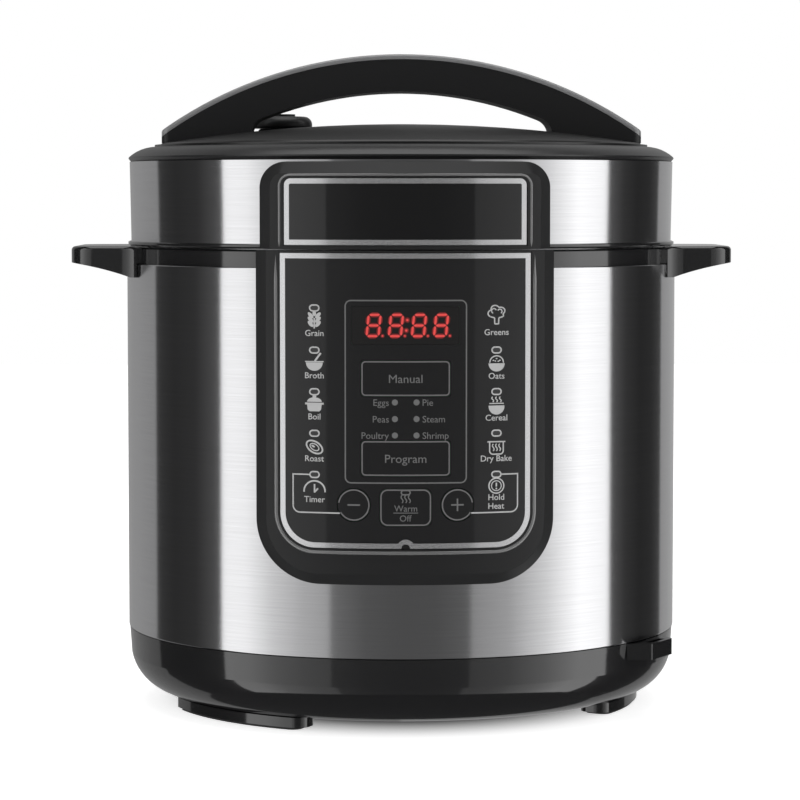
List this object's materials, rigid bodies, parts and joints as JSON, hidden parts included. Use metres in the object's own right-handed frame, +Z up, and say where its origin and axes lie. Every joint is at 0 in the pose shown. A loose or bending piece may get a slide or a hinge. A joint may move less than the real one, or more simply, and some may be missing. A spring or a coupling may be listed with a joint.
{
  "type": "electric pressure cooker",
  "caption": "Round electric pressure cooker with a brushed steel body, curved black control panel, two side grips, an arched lid handle, turning lid and lift-out inner pot.",
  "frame": {"origin": "on the pot's axis, on the plane that the feet stand on", "axes": "+Z up, -Y out of the control panel, +X to the right of a person facing the panel"},
  "size_m": [0.328, 0.2904, 0.3246],
  "materials": {
    "brushed_steel": "brushed around the body",
    "gloss_black": "glossy moulded",
    "panel_black": "polished",
    "key_black": "polished",
    "knob_black": "glossy moulded",
    "handle_black": "fine texture",
    "handle_grey": "satin",
    "trim_silver": "satin",
    "display_glass": "smoked",
    "lamp_lens": "frosted",
    "cup_clear": "clear moulded plastic",
    "inner_black": "moulded",
    "pad_rubber": "soft",
    "gasket_silicone": "translucent silicone",
    "pot_steel": "satin",
    "inner_steel": "satin",
    "plate_aluminium": "machined",
    "small_steel": "bright",
    "board_green": "printed board",
    "component_black": "moulded"
  },
  "bodies": {
    "housing": {"body_sleeve": "brushed_steel", "base_shell": "gloss_black", "collar": "gloss_black", "foot_1": "gloss_black", "foot_2": "gloss_black", "foot_3": "gloss_black", "ladle_bracket": "gloss_black", "front_frame": "gloss_black", "side_grip_left": "gloss_black", "side_grip_right": "gloss_black", "panel_plate": "panel_black", "panel_trim": "trim_silver", "display_window": "display_glass", "status_lamps": "lamp_lens", "bottom_plate": "inner_black", "cup_holder": "inner_black", "board_carrier": "inner_black", "inlet_housing": "inner_black", "foot_pads": "pad_rubber", "outer_pot": "inner_steel", "support_tray": "inner_steel", "sensor_bracket": "inner_steel", "heating_plate": "plate_aluminium", "sensor_spring": "small_steel", "bottom_screws": "small_steel", "inlet_pins": "small_steel", "heating_element": "small_steel", "control_board": "board_green", "power_board": "board_green", "tact_switches": "component_black", "power_relay": "component_black", "pressure_switch": "component_black", "transformer": "component_black", "thermal_fuse": "component_black", "display_module": "component_black"},
    "inner_pot_body": {"inner_pot": "pot_steel"},
    "gasket": {"sealing_ring": "gasket_silicone"},
    "lid": {"inner_lid": "inner_steel", "lid_lower_ring": "gloss_black", "lid_skirt": "brushed_steel", "lid_rim": "gloss_black", "lid_dome": "gloss_black", "lid_posts": "inner_black", "lid_frame": "gloss_black", "lid_plate": "panel_black", "lid_trim": "trim_silver", "handle_arch": "handle_black", "handle_cap": "handle_grey", "handle_screws": "small_steel", "steam_pipe": "small_steel", "steam_filter": "small_steel"},
    "steam_valve": {"valve_knob": "knob_black"},
    "float_valve": {"float_pin": "small_steel"},
    "heat_key": {"key_heat": "key_black"},
    "menu_key": {"key_menu": "key_black"},
    "off_key": {"key_off": "key_black"},
    "minus_key": {"key_minus": "key_black"},
    "plus_key": {"key_plus": "key_black"},
    "drip_cup": {"condensation_cup": "cup_clear"},
    "pot_sensor": {"sensor_probe": "small_steel"}
  },
  "joints": [
    {"name": "pot_lift", "type": "slide", "parent": "housing", "child": "inner_pot_body", "axis": [0, 0, 1], "range_m": [0, 0.18]},
    {"name": "lid_lift", "type": "slide", "parent": "inner_pot_body", "child": "gasket", "axis": [0, 0, 1], "range_m": [0, 0.15]},
    {"name": "lid_turn", "type": "hinge", "parent": "gasket", "child": "lid", "pos_m": [0, 0, 0.2365], "axis": [0, 0, 1], "range_deg": [0, 30]},
    {"name": "valve_turn", "type": "hinge", "parent": "lid", "child": "steam_valve", "pos_m": [-0.06, 0.045, 0.29], "axis": [0, 0, -1], "range_deg": [0, 60]},
    {"name": "float_rise", "type": "slide", "parent": "lid", "child": "float_valve", "axis": [0, 0, 1], "range_m": [0, 0.004]},
    {"name": "heat_press", "type": "slide", "parent": "housing", "child": "heat_key", "axis": [0, 1, 0], "range_m": [0, 0.0008], "stiffness_N_per_m": 300},
    {"name": "menu_press", "type": "slide", "parent": "housing", "child": "menu_key", "axis": [0, 1, 0], "range_m": [0, 0.0008], "stiffness_N_per_m": 300},
    {"name": "off_press", "type": "slide", "parent": "housing", "child": "off_key", "axis": [0, 1, 0], "range_m": [0, 0.0008], "stiffness_N_per_m": 300},
    {"name": "minus_press", "type": "slide", "parent": "housing", "child": "minus_key", "axis": [0, 1, 0], "range_m": [0, 0.0008], "stiffness_N_per_m": 300},
    {"name": "plus_press", "type": "slide", "parent": "housing", "child": "plus_key", "axis": [0, 1, 0], "range_m": [0, 0.0008], "stiffness_N_per_m": 300},
    {"name": "cup_pull", "type": "slide", "parent": "housing", "child": "drip_cup", "axis": [0.6428, 0.766, 0], "range_m": [0, 0.04]},
    {"name": "sensor_press", "type": "slide", "parent": "housing", "child": "pot_sensor", "axis": [0, 0, 1], "range_m": [-0.003, 0], "stiffness_N_per_m": 300, "deforming": ["sensor_spring"]}
  ]
}
